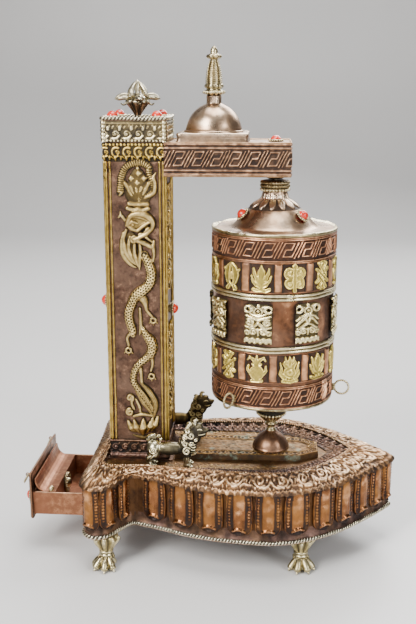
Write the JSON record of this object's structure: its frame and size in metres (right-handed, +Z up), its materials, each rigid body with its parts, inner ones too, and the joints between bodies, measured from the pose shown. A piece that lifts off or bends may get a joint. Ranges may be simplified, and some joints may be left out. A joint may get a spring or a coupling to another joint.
{
  "type": "prayer wheel",
  "caption": "Table-top prayer wheel: ornamented drum on a fixed spindle between a box arm on a square column and a raised lotus base on claw feet, with a side drawer.",
  "frame": {"origin": "centre of the overall footprint with the drawer at its pictured open position, on the surface that the feet stand on", "axes": "+X from the column towards the drum end of the base, +Y to the rear, +Z up along the drum spindle"},
  "size_m": [0.2594, 0.1392, 0.343],
  "materials": {
    "petal_copper": "polished copper with dark antiquing in the recesses",
    "sheet_copper": "plain hand-rubbed sheet copper",
    "rim_copper": "pinkish antiqued repousse copper",
    "deck_copper": "brown oxidised copper with green in the corners",
    "column_copper": "dark purple-brown oxidised copper",
    "drum_copper": "antiqued chased copper",
    "yellow_brass": "yellow brass, darkened in the recesses",
    "pale_brass": "pale white metal, darkened in the recesses",
    "cast_brass": "cast brass, antiqued",
    "dark_brass": "dull brass",
    "spindle_steel": "dark steel rod",
    "white_bead": "polished shell white",
    "coral": "polished orange-red coral",
    "rolled_paper": "tight roll of plain paper"
  },
  "bodies": {
    "stand": {"base_wall": "sheet_copper", "lotus_petals": "petal_copper", "base_rim": "rim_copper", "pierced_gallery": "rim_copper", "deck_plate": "deck_copper", "bearing_platform": "deck_copper", "base_bottom_sheet": "sheet_copper", "bottom_rope_moulding": "pale_brass", "drawer_runners": "sheet_copper", "front_left_foot": "cast_brass", "front_right_foot": "cast_brass", "rear_left_foot": "cast_brass", "rear_right_foot": "cast_brass", "foot_rivets": "dark_brass", "column_plinth": "rim_copper", "column_shell": "column_copper", "column_foot_band": "column_copper", "column_collar_band": "yellow_brass", "column_cap_band": "pale_brass", "column_top_plate": "rim_copper", "column_rope_edge": "pale_brass", "column_edge_wires": "yellow_brass", "front_dragon_relief": "yellow_brass", "rear_dragon_relief": "yellow_brass", "column_side_reliefs": "yellow_brass", "frame_corals": "coral", "coral_bezels": "pale_brass", "vajra_finial": "pale_brass", "arm_channel": "sheet_copper", "arm_soffit": "sheet_copper", "arm_meander_bands": "drum_copper", "spindle_top_boss": "dark_brass", "spindle_nuts": "spindle_steel", "stupa_base": "rim_copper", "stupa_dome": "rim_copper", "stupa_spire": "pale_brass", "spindle_rod": "spindle_steel", "bearing_dome": "deck_copper", "spindle_cup": "pale_brass", "thrust_bead": "white_bead", "front_lion": "cast_brass", "rear_lion": "cast_brass"},
    "drum": {"drum_barrel": "drum_copper", "drum_top_cover": "rim_copper", "drum_bottom_cover": "deck_copper", "drum_lip_rings": "rim_copper", "drum_hoops": "pale_brass", "drum_meander_bands": "drum_copper", "drum_relief_plaques": "yellow_brass", "drum_emblem_plaques": "pale_brass", "drum_bushes": "dark_brass", "drum_collar": "pale_brass", "drum_corals": "coral", "drum_tassel_rings": "pale_brass", "prayer_roll": "rolled_paper"},
    "drawer": {"drawer_tray": "sheet_copper", "drawer_cove": "sheet_copper", "drawer_front": "sheet_copper"},
    "front_pull_ring": {"front_pull_ring": "pale_brass"},
    "rear_pull_ring": {"rear_pull_ring": "pale_brass"}
  },
  "joints": [
    {"name": "drum_spin", "type": "hinge", "parent": "stand", "child": "drum", "pos_m": [0.04168, 0, 0.1087], "axis": [0, 0, 1], "continuous": true},
    {"name": "drawer_slide", "type": "slide", "parent": "stand", "child": "drawer", "axis": [-1, 0, 0], "range_m": [-0.042, 0.02]},
    {"name": "front_ring_swing", "type": "hinge", "parent": "drawer", "child": "front_pull_ring", "pos_m": [-0.12664, -0.0339, 0.0551], "axis": [0, 1, 0], "range_deg": [-24, 66]},
    {"name": "rear_ring_swing", "type": "hinge", "parent": "drawer", "child": "rear_pull_ring", "pos_m": [-0.12664, 0.0339, 0.0551], "axis": [0, 1, 0], "range_deg": [-24, 66]}
  ]
}
